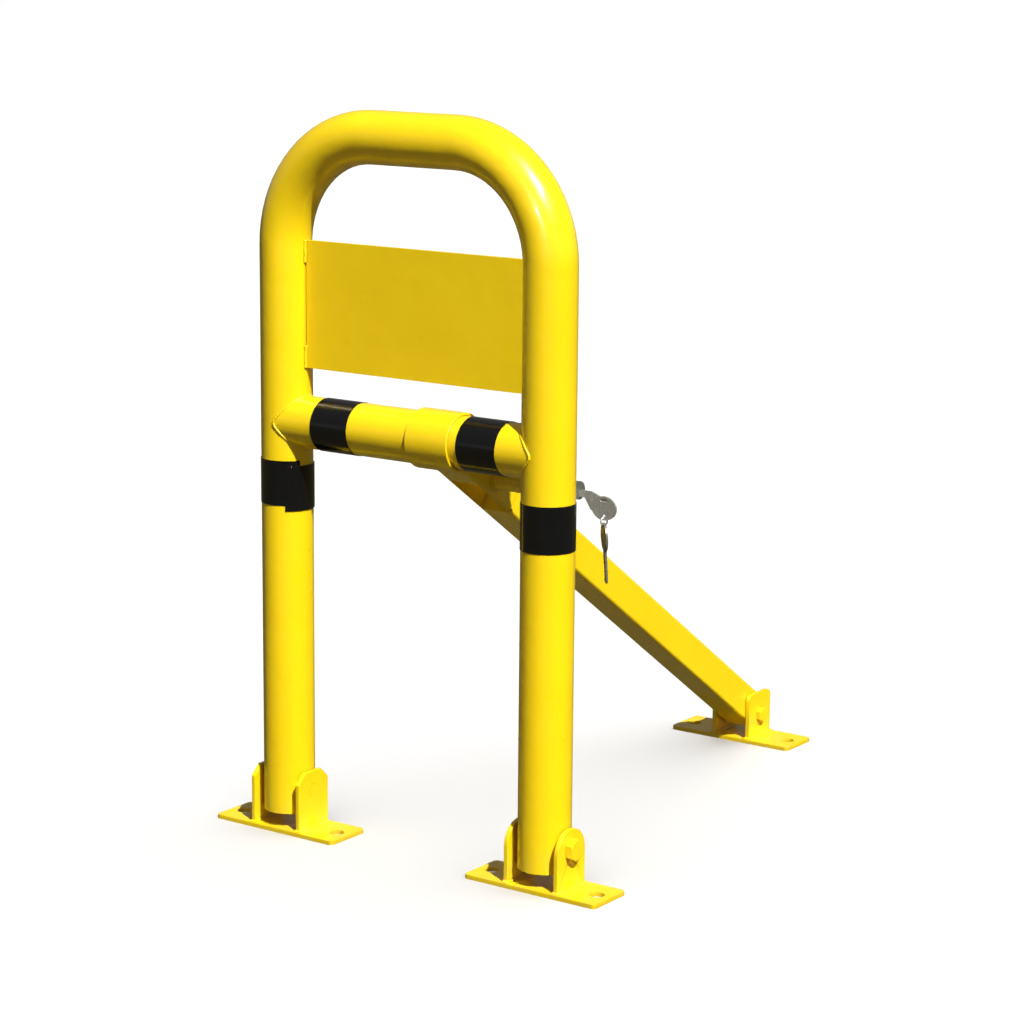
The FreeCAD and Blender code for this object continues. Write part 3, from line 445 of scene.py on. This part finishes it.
RIPPLE_PITCH = 3.4 * MM
RIPPLE_DEPTH = 0.22
WANDER_DEPTH = 0.06
WANDER_STEP = 0.31
BEAD_SIDES = 12
SADDLE_STEPS = 360
SADDLE_ROUNDING = 4 * MM
SADDLE_RADIUS = 1.3 * MM

for side in (-1, 1):
    saddle_bead(side)


# ---------------------------------------------------------------- stage, light and camera

FLOOR_RADIUS = 30
DOME_RADIUS = 29


def pale_material(name, colour, emission=0.0):
    material, tree, shader = new_material(name)
    shader.inputs["Base Color"].default_value = (*colour, 1)
    shader.inputs["Roughness"].default_value = 0.9
    shader.inputs["Specular IOR Level"].default_value = 0.0
    if emission:
        shader.inputs["Emission Color"].default_value = (1, 1, 1, 1)
        shader.inputs["Emission Strength"].default_value = emission
    return material


def camera_only(obj):
    """Seen by the camera, but its bounce doesn't light the object."""
    obj.visible_diffuse = False
    obj.visible_glossy = False
    obj.visible_transmission = False


def make_floor():
    bpy.ops.mesh.primitive_circle_add(vertices=64, radius=FLOOR_RADIUS, fill_type="NGON")
    floor = bpy.context.object
    floor.name = "floor"
    floor.data.materials.append(pale_material("pale_floor", (0.9, 0.9, 0.9)))
    camera_only(floor)
    return floor


def make_backdrop():
    bpy.ops.mesh.primitive_uv_sphere_add(segments=48, ring_count=24, radius=DOME_RADIUS)
    dome = bpy.context.object
    dome.name = "backdrop"
    dome.data.materials.append(pale_material("pale_backdrop", (0, 0, 0), 1.0))
    camera_only(dome)
    dome.visible_shadow = False
    return dome


def from_direction(azimuth, elevation):
    """Unit vector towards a direction: azimuth from the front (-Y) to the right (+X), in degrees."""
    a, e = math.radians(azimuth), math.radians(elevation)
    return Vector((math.sin(a) * math.cos(e), -math.cos(a) * math.cos(e), math.sin(e)))


def add_sun(name, azimuth, elevation, strength, angle, colour, receivers):
    light = bpy.data.lights.new(name, "SUN")
    light.energy = strength
    light.angle = math.radians(angle)
    light.color = colour
    lamp = bpy.data.objects.new(name, light)
    bpy.context.scene.collection.objects.link(lamp)
    lamp.rotation_euler = from_direction(azimuth, elevation).to_track_quat("Z", "Y").to_euler()
    lamp.light_linking.receiver_collection = receivers
    return lamp


def collection_of(name, objects):
    group = bpy.data.collections.new(name)
    for obj in objects:
        group.objects.link(obj)
    return group


def make_world():
    """A dim even studio, a little warmer below and with a brighter band just over the horizon."""
    world = bpy.data.worlds.new("studio")
    bpy.context.scene.world = world
    world.use_nodes = True
    tree = world.node_tree
    tree.nodes.clear()
    point = tree.nodes.new("ShaderNodeTexCoord").outputs["Generated"]
    splitter = tree.nodes.new("ShaderNodeSeparateXYZ")
    tree.links.new(point, splitter.inputs["Vector"])
    ramp = tree.nodes.new("ShaderNodeValToRGB")
    tree.links.new(remap(tree, splitter.outputs["Z"], -1, 1), ramp.inputs["Fac"])
    stops = ramp.color_ramp.elements
    stops[0].position, stops[0].color = 0.0, (0.13, 0.115, 0.06, 1)
    stops[1].position, stops[1].color = 1.0, (0.17, 0.165, 0.15, 1)
    for position, colour in ((0.485, (0.13, 0.115, 0.06)), (0.51, (0.30, 0.30, 0.28)),
                             (0.56, (0.30, 0.30, 0.28)), (0.62, (0.17, 0.165, 0.15))):
        stop = stops.new(position)
        stop.color = (*colour, 1)
    background = tree.nodes.new("ShaderNodeBackground")
    tree.links.new(ramp.outputs["Color"], background.inputs["Color"])
    background.inputs["Strength"].default_value = 1.0
    output = tree.nodes.new("ShaderNodeOutputWorld")
    tree.links.new(background.outputs["Background"], output.inputs["Surface"])


def make_camera():
    """Seen from right of the front and a little above the middle, with a long lens."""
    look_at = Vector((CAMERA_TARGET_X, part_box("u_frame")[0].y + TUBE_RADIUS, CAMERA_TARGET_Z))
    away = from_direction(*CAMERA_DIRECTION)
    data = bpy.data.cameras.new("camera")
    data.sensor_width = CAMERA_SENSOR_MM
    data.lens = CAMERA_LENS_MM
    camera = bpy.data.objects.new("camera", data)
    bpy.context.scene.collection.objects.link(camera)
    turn = away.to_track_quat("Z", "Y") @ Matrix.Rotation(math.radians(CAMERA_ROLL), 4, "Z").to_quaternion()
    camera.matrix_world = Matrix.Translation(look_at + away * CAMERA_DISTANCE) @ turn.to_matrix().to_4x4()
    bpy.context.scene.camera = camera


CAMERA_DIRECTION = (35.5, 11.5)
CAMERA_DISTANCE = 2.5018
CAMERA_TARGET_X = 108.8 * MM
CAMERA_TARGET_Z = 336.4 * MM
CAMERA_LENS_MM = 100.22
CAMERA_SENSOR_MM = 36.0
CAMERA_ROLL = 0.5
TUBE_RADIUS = 24.15 * MM
SUN_ANGLE = 1.2
KEY_DIRECTION = (62, 50)
KEY_STRENGTH = 6.4
KEY_COLOUR = (1.0, 0.985, 0.95)
floor = make_floor()
backdrop = make_backdrop()
pieces = [o for o in bpy.data.objects if o.type == "MESH" and o not in (floor, backdrop)]
sheet_pieces = [nodes["sign_plate"]]
on_object = collection_of("lit_object", [o for o in pieces if o not in sheet_pieces])
on_sheet = collection_of("lit_sheet", sheet_pieces)
on_floor = collection_of("lit_floor", [floor])
add_sun("key_sun", *KEY_DIRECTION, KEY_STRENGTH, SUN_ANGLE, KEY_COLOUR, on_object)
sheet_sun = add_sun("sheet_sun", *KEY_DIRECTION, KEY_STRENGTH, SUN_ANGLE, KEY_COLOUR, on_sheet)
sheet_sun.data.use_shadow = False
glint = add_sun("glint", 17.7, 18.3, 0.7, 1.5, (1, 1, 1), on_object)
glint.visible_diffuse = False
add_sun("floor_light", 59, 70, 3.6, 120, (1, 1, 1), on_floor)
make_world()
make_camera()
view = bpy.context.scene.view_settings
view.view_transform = "Standard"
view.look = "None"
